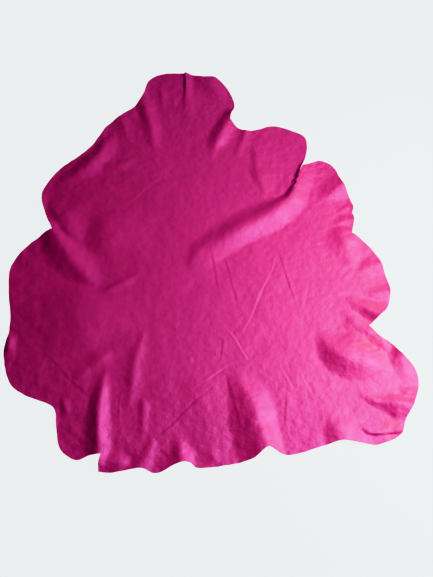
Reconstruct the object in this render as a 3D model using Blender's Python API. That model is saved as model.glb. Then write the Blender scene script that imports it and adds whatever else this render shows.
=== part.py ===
"""Leather hide: one small dyed skin, laid out grain side up, as one closed solid.

Metres, +Z up. The origin is on the floor under the middle of the skin. +Y runs from
the tail to the neck, and +X to the side of the split foreleg.
"""

from collections import namedtuple

import bmesh
import bpy
import numpy as np
from mathutils import Vector
from mathutils.geometry import delaunay_2d_cdt

THICKNESS = 0.0012
EDGE_STEP = 0.011  # between two points of the cut edge
FOLD_STEP = 0.0115  # between two rows of points across a fold, and two points of a row
FLAT_STEP = 0.038  # between two points where the skin lies flat
LEAST_GAP = 0.55  # two points stay apart by this share of the step
ROUTE_STEPS = 6  # straight steps between two stations of a fold

DYE = (0.735, 0.068, 0.205, 1.0)
ROUGHNESS = 0.65

ROUND, CORNER = "round", "corner"
Rim = namedtuple("Rim", "place x y turn")
Station = namedtuple("Station", "x y height left right")
Fold = namedtuple("Fold", "roundness left_foot right_foot stations")

# The cut edge, clockwise from the top of the neck.
CUT_EDGE = (
    Rim("crown_left", -0.114, 0.547, ROUND),
    Rim("slit_left", -0.0706, 0.547, CORNER),
    Rim("slit_end", -0.068, 0.448, CORNER),
    Rim("slit_right", -0.0698, 0.546, CORNER),
    Rim("crown_right", -0.02, 0.532, ROUND),
    Rim("cheek_top", 0.018, 0.526, ROUND),
    Rim("cheek", 0.05, 0.486, ROUND),
    Rim("cheek_low", 0.065, 0.438, ROUND),
    Rim("neck_bay_top", 0.056, 0.404, ROUND),
    Rim("neck_bay", 0.053, 0.384, CORNER),
    Rim("neck_bay_foot", 0.069, 0.364, ROUND),
    Rim("collar", 0.09, 0.352, ROUND),
    Rim("collar_low", 0.117, 0.353, ROUND),
    Rim("shoulder", 0.162, 0.367, ROUND),
    Rim("shoulder_out", 0.208, 0.354, ROUND),
    Rim("foreleg_corner", 0.242, 0.335, ROUND),
    Rim("foreleg_out", 0.249, 0.305, ROUND),
    Rim("foreleg_in", 0.242, 0.264, ROUND),
    Rim("split_mouth_left", 0.2325, 0.237, ROUND),
    Rim("split_left", 0.223, 0.216, ROUND),
    Rim("split_low_left", 0.2105, 0.191, ROUND),
    Rim("split_end", 0.195, 0.163, CORNER),
    Rim("split_low_right", 0.212, 0.19, ROUND),
    Rim("split_right", 0.2245, 0.215, ROUND),
    Rim("split_mouth_right", 0.235, 0.236, CORNER),
    Rim("elbow_corner", 0.25, 0.243, ROUND),
    Rim("elbow", 0.278, 0.255, ROUND),
    Rim("elbow_out", 0.31, 0.238, ROUND),
    Rim("belly_top", 0.326, 0.196, ROUND),
    Rim("belly", 0.345, 0.142, ROUND),
    Rim("belly_nick_top", 0.352, 0.115, ROUND),
    Rim("belly_nick", 0.348, 0.1, CORNER),
    Rim("belly_nick_foot", 0.351, 0.08, ROUND),
    Rim("flank_bay", 0.342, 0.04, CORNER),
    Rim("flank_top", 0.364, 0.022, ROUND),
    Rim("flank", 0.396, -0.021, ROUND),
    Rim("flank_side", 0.412, -0.076, ROUND),
    Rim("flank_out", 0.418, -0.114, ROUND),
    Rim("flank_low", 0.409, -0.156, ROUND),
    Rim("flank_turn", 0.388, -0.182, ROUND),
    Rim("thigh_bay", 0.36, -0.205, CORNER),
    Rim("thigh_top", 0.386, -0.237, ROUND),
    Rim("thigh_step", 0.407, -0.249, ROUND),
    Rim("thigh", 0.427, -0.277, ROUND),
    Rim("thigh_side", 0.453, -0.307, ROUND),
    Rim("hock", 0.457, -0.346, ROUND),
    Rim("hock_low", 0.44, -0.392, ROUND),
    Rim("shank_turn", 0.42, -0.424, ROUND),
    Rim("shank_corner", 0.409, -0.454, CORNER),
    Rim("shank_end", 0.392, -0.467, ROUND),
    Rim("haunch_low", 0.354, -0.48, ROUND),
    Rim("haunch_bay", 0.31, -0.474, ROUND),
    Rim("haunch_fold", 0.281, -0.472, ROUND),
    Rim("rump_right", 0.243, -0.482, ROUND),
    Rim("rump_right_low", 0.183, -0.5, ROUND),
    Rim("tail_right", 0.156, -0.5, ROUND),
    Rim("tail_fold", 0.126, -0.488, ROUND),
    Rim("tail_left", 0.096, -0.51, ROUND),
    Rim("tail", 0.05, -0.522, ROUND),
    Rim("tail_low", -0.017, -0.53, ROUND),
    Rim("rump_fold", -0.038, -0.518, ROUND),
    Rim("rump", -0.066, -0.522, ROUND),
    Rim("rump_left", -0.107, -0.54, ROUND),
    Rim("rump_wave", -0.14, -0.53, ROUND),
    Rim("flap_low", -0.196, -0.539, ROUND),
    Rim("flap_corner", -0.226, -0.538, CORNER),
    Rim("flap_side", -0.226, -0.52, ROUND),
    Rim("flap_top", -0.223, -0.502, CORNER),
    Rim("left_shank", -0.248, -0.504, ROUND),
    Rim("left_shank_low", -0.275, -0.513, ROUND),
    Rim("left_shank_turn", -0.309, -0.49, ROUND),
    Rim("left_shank_out", -0.321, -0.448, ROUND),
    Rim("left_hock_bay", -0.328, -0.406, ROUND),
    Rim("left_hock", -0.345, -0.39, ROUND),
    Rim("left_thigh_low", -0.399, -0.369, ROUND),
    Rim("left_thigh", -0.434, -0.34, ROUND),
    Rim("left_thigh_out", -0.454, -0.275, ROUND),
    Rim("left_thigh_top", -0.449, -0.223, ROUND),
    Rim("left_flank_dip", -0.451, -0.178, ROUND),
    Rim("left_flank", -0.462, -0.118, ROUND),
    Rim("left_flank_top", -0.465, -0.053, ROUND),
    Rim("left_belly", -0.438, -0.002, ROUND),
    Rim("left_belly_top", -0.404, 0.031, ROUND),
    Rim("left_armpit", -0.376, 0.048, CORNER),
    Rim("left_elbow", -0.398, 0.095, ROUND),
    Rim("left_foreleg", -0.413, 0.148, ROUND),
    Rim("left_foreleg_turn", -0.403, 0.186, ROUND),
    Rim("left_foreleg_top", -0.374, 0.232, ROUND),
    Rim("withers_dip", -0.313, 0.288, ROUND),
    Rim("withers", -0.283, 0.337, ROUND),
    Rim("withers_step", -0.266, 0.368, ROUND),
    Rim("withers_top", -0.225, 0.408, ROUND),
    Rim("neck_foot", -0.194, 0.437, ROUND),
    Rim("neck_side", -0.177, 0.473, ROUND),
    Rim("neck_turn", -0.166, 0.517, ROUND),
    Rim("crown_turn", -0.146, 0.538, ROUND),
)

# Each fold is a ridge that runs from its first station to its last. Left and right are how
# far its two sides reach, seen along the way that it runs. A larger foot hollows that side.
FOLDS = {
    "split_ruck": Fold(
        roundness=0.4,
        left_foot=1.4,
        right_foot=1.7,
        stations=(
            Station(0.240, 0.254, 0.006, 0.030, 0.003),
            Station(0.234, 0.238, 0.008, 0.034, 0.003),
            Station(0.227, 0.220, 0.010, 0.038, 0.004),
            Station(0.220, 0.198, 0.012, 0.040, 0.006),
            Station(0.212, 0.170, 0.014, 0.040, 0.010),
            Station(0.198, 0.136, 0.0155, 0.042, 0.026),
            Station(0.172, 0.106, 0.0165, 0.042, 0.046),
            Station(0.122, 0.072, 0.016, 0.043, 0.056),
            Station(0.074, 0.046, 0.0145, 0.042, 0.056),
            Station(0.038, 0.024, 0.011, 0.044, 0.050),
            Station(0.006, 0.008, 0.0075, 0.050, 0.042),
            Station(-0.018, -0.008, 0.005, 0.056, 0.036),
            Station(-0.034, -0.034, 0.003, 0.052, 0.030),
            Station(-0.044, -0.062, 0.000, 0.024, 0.012),
        ),
    ),
    "armpit_ruck": Fold(
        roundness=0.3,
        left_foot=1.5,
        right_foot=1.5,
        stations=(
            Station(-0.388, 0.056, 0.010, 0.036, 0.036),
            Station(-0.374, 0.038, 0.0115, 0.034, 0.042),
            Station(-0.356, 0.012, 0.013, 0.038, 0.048),
            Station(-0.334, -0.022, 0.0125, 0.046, 0.048),
            Station(-0.310, -0.052, 0.010, 0.048, 0.042),
            Station(-0.286, -0.078, 0.007, 0.042, 0.030),
            Station(-0.268, -0.094, 0.0035, 0.030, 0.020),
            Station(-0.256, -0.108, 0.000, 0.014, 0.012),
        ),
    ),
    "shank_ruck": Fold(
        roundness=0.15,
        left_foot=1.5,
        right_foot=1.6,
        stations=(
            Station(-0.225, -0.520, 0.010, 0.030, 0.026),
            Station(-0.228, -0.491, 0.0115, 0.032, 0.030),
            Station(-0.231, -0.452, 0.012, 0.032, 0.030),
            Station(-0.234, -0.408, 0.0105, 0.028, 0.028),
            Station(-0.232, -0.366, 0.007, 0.022, 0.024),
            Station(-0.229, -0.334, 0.003, 0.016, 0.018),
            Station(-0.227, -0.306, 0.000, 0.010, 0.012),
        ),
    ),
    "tail_ruck": Fold(
        roundness=0.22,
        left_foot=1.2,
        right_foot=1.3,
        stations=(
            Station(0.127, -0.520, 0.0175, 0.066, 0.034),
            Station(0.123, -0.494, 0.0175, 0.066, 0.036),
            Station(0.117, -0.468, 0.0175, 0.066, 0.039),
            Station(0.107, -0.436, 0.0165, 0.064, 0.042),
            Station(0.098, -0.404, 0.014, 0.060, 0.046),
            Station(0.086, -0.380, 0.0105, 0.050, 0.050),
            Station(0.072, -0.354, 0.0055, 0.036, 0.046),
            Station(0.064, -0.330, 0.0025, 0.022, 0.034),
            Station(0.058, -0.304, 0.000, 0.014, 0.018),
        ),
    ),
    "neck_ruck": Fold(
        roundness=0.25,
        left_foot=1.6,
        right_foot=1.6,
        stations=(
            Station(0.062, 0.402, 0.010, 0.028, 0.030),
            Station(0.040, 0.360, 0.012, 0.030, 0.034),
            Station(0.026, 0.328, 0.011, 0.030, 0.034),
            Station(0.016, 0.306, 0.006, 0.024, 0.028),
            Station(0.008, 0.284, 0.002, 0.018, 0.020),
            Station(0.000, 0.262, 0.000, 0.012, 0.014),
        ),
    ),
    "nape_ruck": Fold(
        roundness=0.3,
        left_foot=1.8,
        right_foot=1.6,
        stations=(
            Station(-0.188, 0.486, 0.004, 0.034, 0.024),
            Station(-0.176, 0.446, 0.006, 0.036, 0.024),
            Station(-0.166, 0.410, 0.007, 0.034, 0.024),
            Station(-0.154, 0.368, 0.0065, 0.030, 0.024),
            Station(-0.146, 0.326, 0.0045, 0.026, 0.022),
            Station(-0.140, 0.292, 0.000, 0.016, 0.014),
        ),
    ),
    "withers_roll": Fold(
        roundness=0.3,
        left_foot=1.2,
        right_foot=1.6,
        stations=(
            Station(-0.368, 0.180, 0.0015, 0.020, 0.022),
            Station(-0.346, 0.202, 0.004, 0.024, 0.028),
            Station(-0.324, 0.222, 0.008, 0.026, 0.034),
            Station(-0.300, 0.244, 0.0105, 0.030, 0.040),
            Station(-0.280, 0.272, 0.010, 0.028, 0.040),
            Station(-0.264, 0.306, 0.007, 0.024, 0.036),
            Station(-0.250, 0.344, 0.000, 0.012, 0.018),
        ),
    ),
    "haunch_step": Fold(
        roundness=0.3,
        left_foot=1.4,
        right_foot=1.2,
        stations=(
            Station(0.246, -0.226, 0.000, 0.030, 0.012),
            Station(0.260, -0.246, 0.006, 0.050, 0.026),
            Station(0.276, -0.266, 0.012, 0.080, 0.038),
            Station(0.298, -0.282, 0.0165, 0.092, 0.046),
            Station(0.322, -0.291, 0.0175, 0.086, 0.048),
            Station(0.346, -0.297, 0.015, 0.070, 0.044),
            Station(0.368, -0.303, 0.010, 0.056, 0.036),
            Station(0.386, -0.309, 0.005, 0.040, 0.026),
            Station(0.402, -0.314, 0.000, 0.020, 0.014),
        ),
    ),
    "haunch_ruck": Fold(
        roundness=0.3,
        left_foot=1.4,
        right_foot=1.6,
        stations=(
            Station(0.288, -0.490, 0.009, 0.036, 0.066),
            Station(0.280, -0.467, 0.009, 0.036, 0.066),
            Station(0.273, -0.443, 0.0075, 0.034, 0.060),
            Station(0.266, -0.424, 0.003, 0.024, 0.036),
            Station(0.260, -0.402, 0.000, 0.014, 0.018),
        ),
    ),
    "hock_ruck": Fold(
        roundness=0.2,
        left_foot=1.2,
        right_foot=2.0,
        stations=(
            Station(0.442, -0.396, 0.014, 0.042, 0.034),
            Station(0.420, -0.394, 0.014, 0.040, 0.034),
            Station(0.400, -0.390, 0.013, 0.036, 0.032),
            Station(0.380, -0.388, 0.008, 0.022, 0.028),
            Station(0.358, -0.384, 0.005, 0.014, 0.022),
            Station(0.338, -0.372, 0.002, 0.012, 0.016),
            Station(0.318, -0.358, 0.000, 0.010, 0.012),
        ),
    ),
    "thigh_ruck": Fold(
        roundness=0.2,
        left_foot=1.6,
        right_foot=1.3,
        stations=(
            Station(0.412, -0.198, 0.014, 0.022, 0.040),
            Station(0.386, -0.182, 0.014, 0.022, 0.040),
            Station(0.360, -0.166, 0.010, 0.022, 0.032),
            Station(0.338, -0.150, 0.005, 0.022, 0.020),
            Station(0.320, -0.132, 0.000, 0.012, 0.010),
        ),
    ),
    "thigh_ridge": Fold(
        roundness=0.25,
        left_foot=1.5,
        right_foot=1.2,
        stations=(
            Station(0.388, -0.242, 0.009, 0.036, 0.022),
            Station(0.362, -0.224, 0.0085, 0.036, 0.022),
            Station(0.344, -0.208, 0.007, 0.034, 0.020),
            Station(0.326, -0.188, 0.005, 0.026, 0.018),
            Station(0.312, -0.162, 0.000, 0.014, 0.010),
        ),
    ),
    "rump_ruck": Fold(
        roundness=0.25,
        left_foot=1.6,
        right_foot=1.8,
        stations=(
            Station(-0.054, -0.536, 0.0085, 0.038, 0.030),
            Station(-0.055, -0.514, 0.0085, 0.038, 0.030),
            Station(-0.057, -0.498, 0.0075, 0.034, 0.028),
            Station(-0.061, -0.482, 0.004, 0.024, 0.022),
            Station(-0.068, -0.460, 0.000, 0.012, 0.014),
        ),
    ),
    "flap_wave": Fold(
        roundness=0.3,
        left_foot=1.8,
        right_foot=1.8,
        stations=(
            Station(-0.148, -0.546, 0.004, 0.034, 0.024),
            Station(-0.140, -0.526, 0.0045, 0.034, 0.024),
            Station(-0.126, -0.504, 0.0045, 0.030, 0.022),
            Station(-0.120, -0.484, 0.003, 0.022, 0.018),
            Station(-0.116, -0.464, 0.000, 0.012, 0.010),
        ),
    ),
    "flap_hump": Fold(
        roundness=0.3,
        left_foot=2.0,
        right_foot=1.4,
        stations=(
            Station(-0.230, -0.514, 0.005, 0.026, 0.022),
            Station(-0.204, -0.517, 0.006, 0.028, 0.022),
            Station(-0.182, -0.519, 0.005, 0.026, 0.022),
            Station(-0.158, -0.520, 0.000, 0.016, 0.014),
        ),
    ),
    "loin_ruck": Fold(
        roundness=0.2,
        left_foot=1.8,
        right_foot=2.0,
        stations=(
            Station(-0.168, -0.402, 0.000, 0.012, 0.014),
            Station(-0.168, -0.372, 0.0025, 0.022, 0.026),
            Station(-0.166, -0.336, 0.0038, 0.028, 0.030),
            Station(-0.164, -0.302, 0.0038, 0.028, 0.030),
            Station(-0.155, -0.258, 0.003, 0.020, 0.024),
            Station(-0.143, -0.216, 0.000, 0.012, 0.014),
        ),
    ),
    "flank_ruck": Fold(
        roundness=0.2,
        left_foot=1.8,
        right_foot=2.0,
        stations=(
            Station(-0.258, -0.130, 0.001, 0.016, 0.024),
            Station(-0.233, -0.116, 0.003, 0.018, 0.028),
            Station(-0.206, -0.098, 0.003, 0.018, 0.028),
            Station(-0.184, -0.084, 0.002, 0.016, 0.024),
            Station(-0.160, -0.066, 0.000, 0.012, 0.016),
        ),
    ),
    "flank_ridge": Fold(
        roundness=0.3,
        left_foot=1.6,
        right_foot=1.5,
        stations=(
            Station(0.322, 0.062, 0.000, 0.020, 0.018),
            Station(0.322, 0.038, 0.008, 0.044, 0.044),
            Station(0.324, 0.008, 0.009, 0.050, 0.046),
            Station(0.330, -0.022, 0.0055, 0.044, 0.034),
            Station(0.338, -0.050, 0.0015, 0.026, 0.022),
            Station(0.346, -0.076, 0.000, 0.012, 0.012),
        ),
    ),
    "foreleg_ridge": Fold(
        roundness=0.35,
        left_foot=1.6,
        right_foot=1.6,
        stations=(
            Station(-0.394, 0.134, 0.000, 0.030, 0.020),
            Station(-0.374, 0.104, 0.004, 0.060, 0.028),
            Station(-0.356, 0.076, 0.007, 0.070, 0.034),
            Station(-0.340, 0.050, 0.0065, 0.060, 0.032),
            Station(-0.328, 0.026, 0.003, 0.040, 0.026),
            Station(-0.320, 0.004, 0.000, 0.020, 0.016),
        ),
    ),
    "foreleg_swell": Fold(
        roundness=0.25,
        left_foot=1.5,
        right_foot=1.6,
        stations=(
            Station(-0.266, 0.102, 0.000, 0.040, 0.026),
            Station(-0.256, 0.072, 0.004, 0.120, 0.046),
            Station(-0.252, 0.036, 0.005, 0.130, 0.052),
            Station(-0.252, 0.004, 0.004, 0.120, 0.044),
            Station(-0.258, -0.022, 0.000, 0.040, 0.024),
        ),
    ),
    "foreleg_step": Fold(
        roundness=0.2,
        left_foot=1.2,
        right_foot=1.8,
        stations=(
            Station(0.114, 0.324, 0.000, 0.030, 0.012),
            Station(0.116, 0.282, 0.003, 0.054, 0.018),
            Station(0.118, 0.242, 0.0035, 0.060, 0.018),
            Station(0.124, 0.196, 0.0035, 0.060, 0.018),
            Station(0.140, 0.156, 0.000, 0.030, 0.012),
        ),
    ),
    "collar_ruck": Fold(
        roundness=0.2,
        left_foot=2.0,
        right_foot=2.0,
        stations=(
            Station(0.097, 0.366, 0.005, 0.022, 0.018),
            Station(0.092, 0.350, 0.005, 0.022, 0.020),
            Station(0.086, 0.321, 0.004, 0.022, 0.020),
            Station(0.075, 0.291, 0.002, 0.020, 0.018),
            Station(0.059, 0.261, 0.000, 0.014, 0.014),
        ),
    ),
    "tail_swell": Fold(
        roundness=0.4,
        left_foot=1.8,
        right_foot=2.0,
        stations=(
            Station(-0.034, -0.300, 0.000, 0.040, 0.040),
            Station(-0.020, -0.354, 0.0025, 0.056, 0.060),
            Station(-0.006, -0.412, 0.0025, 0.056, 0.060),
            Station(0.006, -0.470, 0.002, 0.056, 0.060),
            Station(0.014, -0.530, 0.001, 0.050, 0.050),
        ),
    ),
    "loin_step": Fold(
        roundness=0.12,
        left_foot=1.6,
        right_foot=1.2,
        stations=(
            Station(-0.300, -0.092, 0.000, 0.060, 0.050),
            Station(-0.298, -0.138, 0.006, 0.130, 0.110),
            Station(-0.292, -0.192, 0.0085, 0.150, 0.130),
            Station(-0.286, -0.234, 0.0065, 0.130, 0.110),
            Station(-0.274, -0.274, 0.000, 0.050, 0.050),
        ),
    ),
    "loin_fold": Fold(
        roundness=0.25,
        left_foot=1.8,
        right_foot=1.8,
        stations=(
            Station(-0.216, -0.264, 0.000, 0.016, 0.016),
            Station(-0.234, -0.284, 0.003, 0.026, 0.030),
            Station(-0.254, -0.300, 0.003, 0.026, 0.032),
            Station(-0.272, -0.318, 0.0025, 0.022, 0.028),
            Station(-0.290, -0.334, 0.000, 0.014, 0.014),
        ),
    ),
    "elbow_ruffle": Fold(
        roundness=0.3,
        left_foot=1.7,
        right_foot=1.6,
        stations=(
            Station(0.350, 0.190, 0.0105, 0.036, 0.044),
            Station(0.326, 0.172, 0.0105, 0.036, 0.044),
            Station(0.306, 0.160, 0.009, 0.032, 0.040),
            Station(0.286, 0.146, 0.0045, 0.024, 0.028),
            Station(0.266, 0.128, 0.000, 0.012, 0.014),
        ),
    ),
    "hem_pleat": Fold(
        roundness=0.3,
        left_foot=2.0,
        right_foot=1.2,
        stations=(
            Station(0.320, -0.436, 0.000, 0.018, 0.005),
            Station(0.330, -0.447, 0.0035, 0.028, 0.007),
            Station(0.344, -0.453, 0.0045, 0.030, 0.007),
            Station(0.370, -0.453, 0.0045, 0.030, 0.007),
            Station(0.412, -0.448, 0.004, 0.030, 0.007),
        ),
    ),
    "cheek_bump": Fold(
        roundness=0.3,
        left_foot=1.2,
        right_foot=1.8,
        stations=(
            Station(-0.008, 0.550, 0.008, 0.034, 0.060),
            Station(0.008, 0.518, 0.0085, 0.034, 0.060),
            Station(0.018, 0.486, 0.006, 0.030, 0.050),
            Station(0.024, 0.454, 0.002, 0.024, 0.030),
            Station(0.026, 0.424, 0.000, 0.014, 0.016),
        ),
    ),
    "nape_wave": Fold(
        roundness=0.3,
        left_foot=1.8,
        right_foot=1.8,
        stations=(
            Station(-0.246, 0.408, 0.003, 0.028, 0.018),
            Station(-0.228, 0.374, 0.003, 0.028, 0.018),
            Station(-0.216, 0.342, 0.0015, 0.024, 0.016),
            Station(-0.206, 0.310, 0.000, 0.014, 0.012),
        ),
    ),
    "side_ruffle": Fold(
        roundness=0.25,
        left_foot=1.6,
        right_foot=1.6,
        stations=(
            Station(0.434, -0.116, 0.0085, 0.026, 0.026),
            Station(0.408, -0.120, 0.008, 0.026, 0.026),
            Station(0.384, -0.124, 0.004, 0.022, 0.020),
            Station(0.360, -0.128, 0.000, 0.012, 0.010),
        ),
    ),
    "thigh_bump": Fold(
        roundness=0.25,
        left_foot=1.4,
        right_foot=1.4,
        stations=(
            Station(0.433, -0.236, 0.006, 0.030, 0.024),
            Station(0.428, -0.262, 0.0105, 0.034, 0.032),
            Station(0.427, -0.288, 0.0105, 0.034, 0.032),
            Station(0.429, -0.310, 0.005, 0.026, 0.024),
            Station(0.433, -0.334, 0.000, 0.014, 0.012),
        ),
    ),
}


def clear_scene():
    for thing in list(bpy.data.objects):
        bpy.data.objects.remove(thing, do_unlink=True)


def between(before, start, end, after, t):
    """The smooth curve through four values, read at t from the second to the third."""
    leave, arrive = (end - before) / 2, (after - start) / 2
    return (
        start * (2 * t**3 - 3 * t**2 + 1)
        + leave * (t**3 - 2 * t**2 + t)
        + end * (3 * t**2 - 2 * t**3)
        + arrive * (t**3 - t**2)
    )


def edge_points():
    """Points about EDGE_STEP apart along the cut edge. A corner stays sharp."""
    count = len(CUT_EDGE)
    places = np.array([(rim.x, rim.y) for rim in CUT_EDGE])
    points = []
    for i, rim in enumerate(CUT_EDGE):
        start, end = places[i], places[(i + 1) % count]
        before, after = places[i - 1], places[(i + 2) % count]
        if rim.turn == CORNER:
            before = 2 * start - end
        if CUT_EDGE[(i + 1) % count].turn == CORNER:
            after = 2 * end - start
        steps = max(1, round(np.linalg.norm(end - start) / EDGE_STEP))
        points += [between(before, start, end, after, k / steps) for k in range(steps)]
    return np.array(points)


def fold_route(fold):
    """A row for each point of the smooth run through the stations, in their columns."""
    ends = np.array([fold.stations[0], *fold.stations, fold.stations[-1]])
    route = [
        between(*ends[i : i + 4], k / ROUTE_STEPS)
        for i in range(len(fold.stations) - 1)
        for k in range(ROUTE_STEPS)
    ]
    return np.array([*route, ends[-1]])


def ridge(fold, route, places):
    """How far one fold lifts each place, and how far out it lies as a share of the reach."""
    nearest = np.full(len(places), np.inf)
    height = np.zeros(len(places))
    reach = np.zeros(len(places))
    foot = np.zeros(len(places))
    for start, end in zip(route, route[1:]):
        along = end[:2] - start[:2]
        t = np.clip((places - start[:2]) @ along / (along @ along), 0, 1)[:, None]
        row = start + t * (end - start)
        offset = places - row[:, :2]
        distance = np.hypot(*offset.T)
        on_left = along[0] * offset[:, 1] > along[1] * offset[:, 0]
        width = np.maximum(np.where(on_left, row[:, 3], row[:, 4]), 1e-6)
        closer = distance < nearest
        nearest[closer] = distance[closer]
        height[closer] = row[closer, 2]
        reach[closer] = (distance / width)[closer]
        foot[closer] = np.where(on_left, fold.left_foot, fold.right_foot)[closer]
    crest = fold.roundness
    share = (np.hypot(np.minimum(reach, 1), crest) - crest) / (np.hypot(1, crest) - crest)
    return np.maximum(height, 0) * (1 - share) ** foot, reach


def skin(folds, places):
    """The height of the skin's underside at each place. Folds that meet run together."""
    return np.cbrt(sum(ridge(*fold, places)[0] ** 3 for fold in folds))


def inside(edge, places):
    """Whether each place is inside the cut edge."""
    found = np.zeros(len(places), bool)
    x, y = places.T
    for (x0, y0), (x1, y1) in zip(edge, np.roll(edge, -1, axis=0)):
        if y0 != y1:
            crosses = (y0 > y) != (y1 > y)
            found ^= crosses & (x < x0 + (y - y0) / (y1 - y0) * (x1 - x0))
    return found


def lattice(edge, step):
    """A staggered lattice of points inside the cut edge."""
    low, high = edge.min(axis=0), edge.max(axis=0)
    row_gap = step * 0.75**0.5
    rows = range(1, int((high[1] - low[1]) / row_gap) + 1)
    columns = range(int((high[0] - low[0]) / step) + 1)
    places = [
        (low[0] + (column + 0.5 * (row % 2)) * step, low[1] + row * row_gap)
        for row in rows
        for column in columns
    ]
    places = np.array(places)
    return places[inside(edge, places)]


def with_gap(kept, candidates, gap):
    """The points kept so far, and each candidate that stays the gap away from them."""
    kept = list(kept)
    for place in candidates:
        if np.hypot(*(np.array(kept) - place).T).min() > gap:
            kept.append(place)
    return np.array(kept)


def fold_rows(route):
    """Rows of points across a fold, so that the mesh follows its crest and its feet."""
    places = []
    since = FOLD_STEP
    for start, end in zip(route, route[1:]):
        along = end[:2] - start[:2]
        since += np.hypot(*along)
        if since > FOLD_STEP:
            since = 0.0
            leftward = np.array((-along[1], along[0])) / np.hypot(*along)
            for width in (start[3], -start[4]):
                count = max(2, round(abs(width) / FOLD_STEP))
                steps = np.linspace(0, width, count + 1)[:, None]
                places += list(start[:2] + steps * leftward)
    return np.array(places)


def plan_points(folds, edge):
    """The cut edge, the rows of each fold outside the folds before it, and the flat skin."""
    points = edge
    for i, (_, route) in enumerate(folds):
        rows = fold_rows(route)
        free = inside(edge, rows)
        for earlier in folds[:i]:
            free &= ridge(*earlier, rows)[1] > 1
        points = with_gap(points, rows[free], FOLD_STEP * LEAST_GAP)
    return with_gap(points, lattice(edge, FLAT_STEP), FLAT_STEP * LEAST_GAP)


def leather():
    material = bpy.data.materials.new("dyed_leather")
    material.use_nodes = True
    shader = material.node_tree.nodes["Principled BSDF"]
    shader.inputs["Base Color"].default_value = DYE
    shader.inputs["Roughness"].default_value = ROUGHNESS
    shader.inputs["Metallic"].default_value = 0.0
    return material


def underside(folds):
    """The skin's underside: its plan in triangles, lifted along the folds."""
    edge = edge_points()
    ring = [(i, (i + 1) % len(edge)) for i in range(len(edge))]
    plan = [Vector(place) for place in plan_points(folds, edge)]
    plan, _, triangles, *_ = delaunay_2d_cdt(plan, ring, [], 1, 1e-6)
    heights = skin(folds, np.array(plan))
    shape = bmesh.new()
    corners = [shape.verts.new((*place, height)) for place, height in zip(plan, heights)]
    for triangle in triangles:
        shape.faces.new([corners[i] for i in reversed(triangle)])
    shape.normal_update()
    return shape


def centre(shape):
    """Moves the shape so that the middle of its box is over the origin."""
    places = np.array([vertex.co for vertex in shape.verts])
    middle = (places.min(axis=0) + places.max(axis=0)) / 2
    bmesh.ops.translate(shape, verts=shape.verts, vec=(-middle[0], -middle[1], 0))


def hide():
    """The whole skin, its thickness added upward from the underside."""
    shape = underside([(fold, fold_route(fold)) for fold in FOLDS.values()])
    bmesh.ops.solidify(shape, geom=shape.faces[:], thickness=THICKNESS)
    centre(shape)
    mesh = bpy.data.meshes.new("hide")
    shape.to_mesh(mesh)
    shape.free()
    mesh.materials.append(leather())
    bpy.context.scene.collection.objects.link(bpy.data.objects.new("hide", mesh))


clear_scene()
hide()
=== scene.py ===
# A small dyed leather skin, spread out on a pale floor with its grain side up.
import math

import bpy
import numpy as np
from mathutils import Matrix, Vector, noise
from mathutils.geometry import delaunay_2d_cdt
from mathutils.kdtree import KDTree


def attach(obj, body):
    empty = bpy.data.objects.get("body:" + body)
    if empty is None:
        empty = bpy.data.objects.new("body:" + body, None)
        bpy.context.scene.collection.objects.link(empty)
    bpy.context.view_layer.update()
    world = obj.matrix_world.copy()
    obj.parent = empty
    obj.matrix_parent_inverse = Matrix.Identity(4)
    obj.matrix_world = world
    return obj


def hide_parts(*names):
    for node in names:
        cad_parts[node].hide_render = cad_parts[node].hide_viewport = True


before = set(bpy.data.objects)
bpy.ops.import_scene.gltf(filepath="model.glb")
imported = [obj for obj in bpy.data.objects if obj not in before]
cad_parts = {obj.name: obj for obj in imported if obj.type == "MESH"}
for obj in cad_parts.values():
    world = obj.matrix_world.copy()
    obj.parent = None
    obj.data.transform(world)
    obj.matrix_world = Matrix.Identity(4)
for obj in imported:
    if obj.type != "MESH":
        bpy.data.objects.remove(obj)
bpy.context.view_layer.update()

skin = {
    "node": "hide",
    "name": "magenta_skin",
    "slot": "leather",
    "thickness": 0.0012,
    "flatSize": (0.94, 1.10),
    "flatArea": 0.735,
    "smoothAngle": 50,  # degrees up to which two faces are shaded as one
    "edgeGap": 0.004,  # between two points of the cut edge
    "pointGap": 0.0047,  # between two points of the sheet
    "edgeShare": 0.5,  # the share of pointGap that stays free beside the cut edge
    "creaseShare": 0.55,  # the share of it that stays free beside a crease
    "mergeGap": 1e-7,  # points closer than this are taken as one
}


def clear():
    bpy.ops.object.select_all(action="DESELECT")


def between(before, start, end, after, t):
    # the smooth curve through four values, read at t from the second to the third
    leave, arrive = (end - before) / 2, (after - start) / 2
    return (
        start * (2 * t**3 - 3 * t**2 + 1)
        + leave * (t**3 - 2 * t**2 + t)
        + end * (3 * t**2 - 2 * t**3)
        + arrive * (t**3 - t**2)
    )


def smoothRoute(rows, steps=6):
    rows = np.array(rows, float)
    ends = np.vstack([rows[:1], rows, rows[-1:]])
    route = [
        between(*ends[i : i + 4], k / steps) for i in range(len(rows) - 1) for k in range(steps)
    ]
    return np.array([*route, rows[-1]])


def nearestOnRoute(route, places):
    # for each place: distance, which side it is on, the route's columns there, and its direction
    best = np.full(len(places), np.inf)
    left = np.zeros(len(places), bool)
    columns = np.zeros((len(places), route.shape[1]))
    direction = np.zeros((len(places), 2))
    for start, end in zip(route, route[1:]):
        along = end[:2] - start[:2]
        t = np.clip((places - start[:2]) @ along / (along @ along), 0, 1)[:, None]
        row = start + t * (end - start)
        offset = places - row[:, :2]
        distance = np.hypot(*offset.T)
        closer = distance < best
        best[closer] = distance[closer]
        left[closer] = (along[0] * offset[:, 1] > along[1] * offset[:, 0])[closer]
        columns[closer] = row[closer]
        direction[closer] = along / np.hypot(*along)
    return best, left, columns, direction


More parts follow.
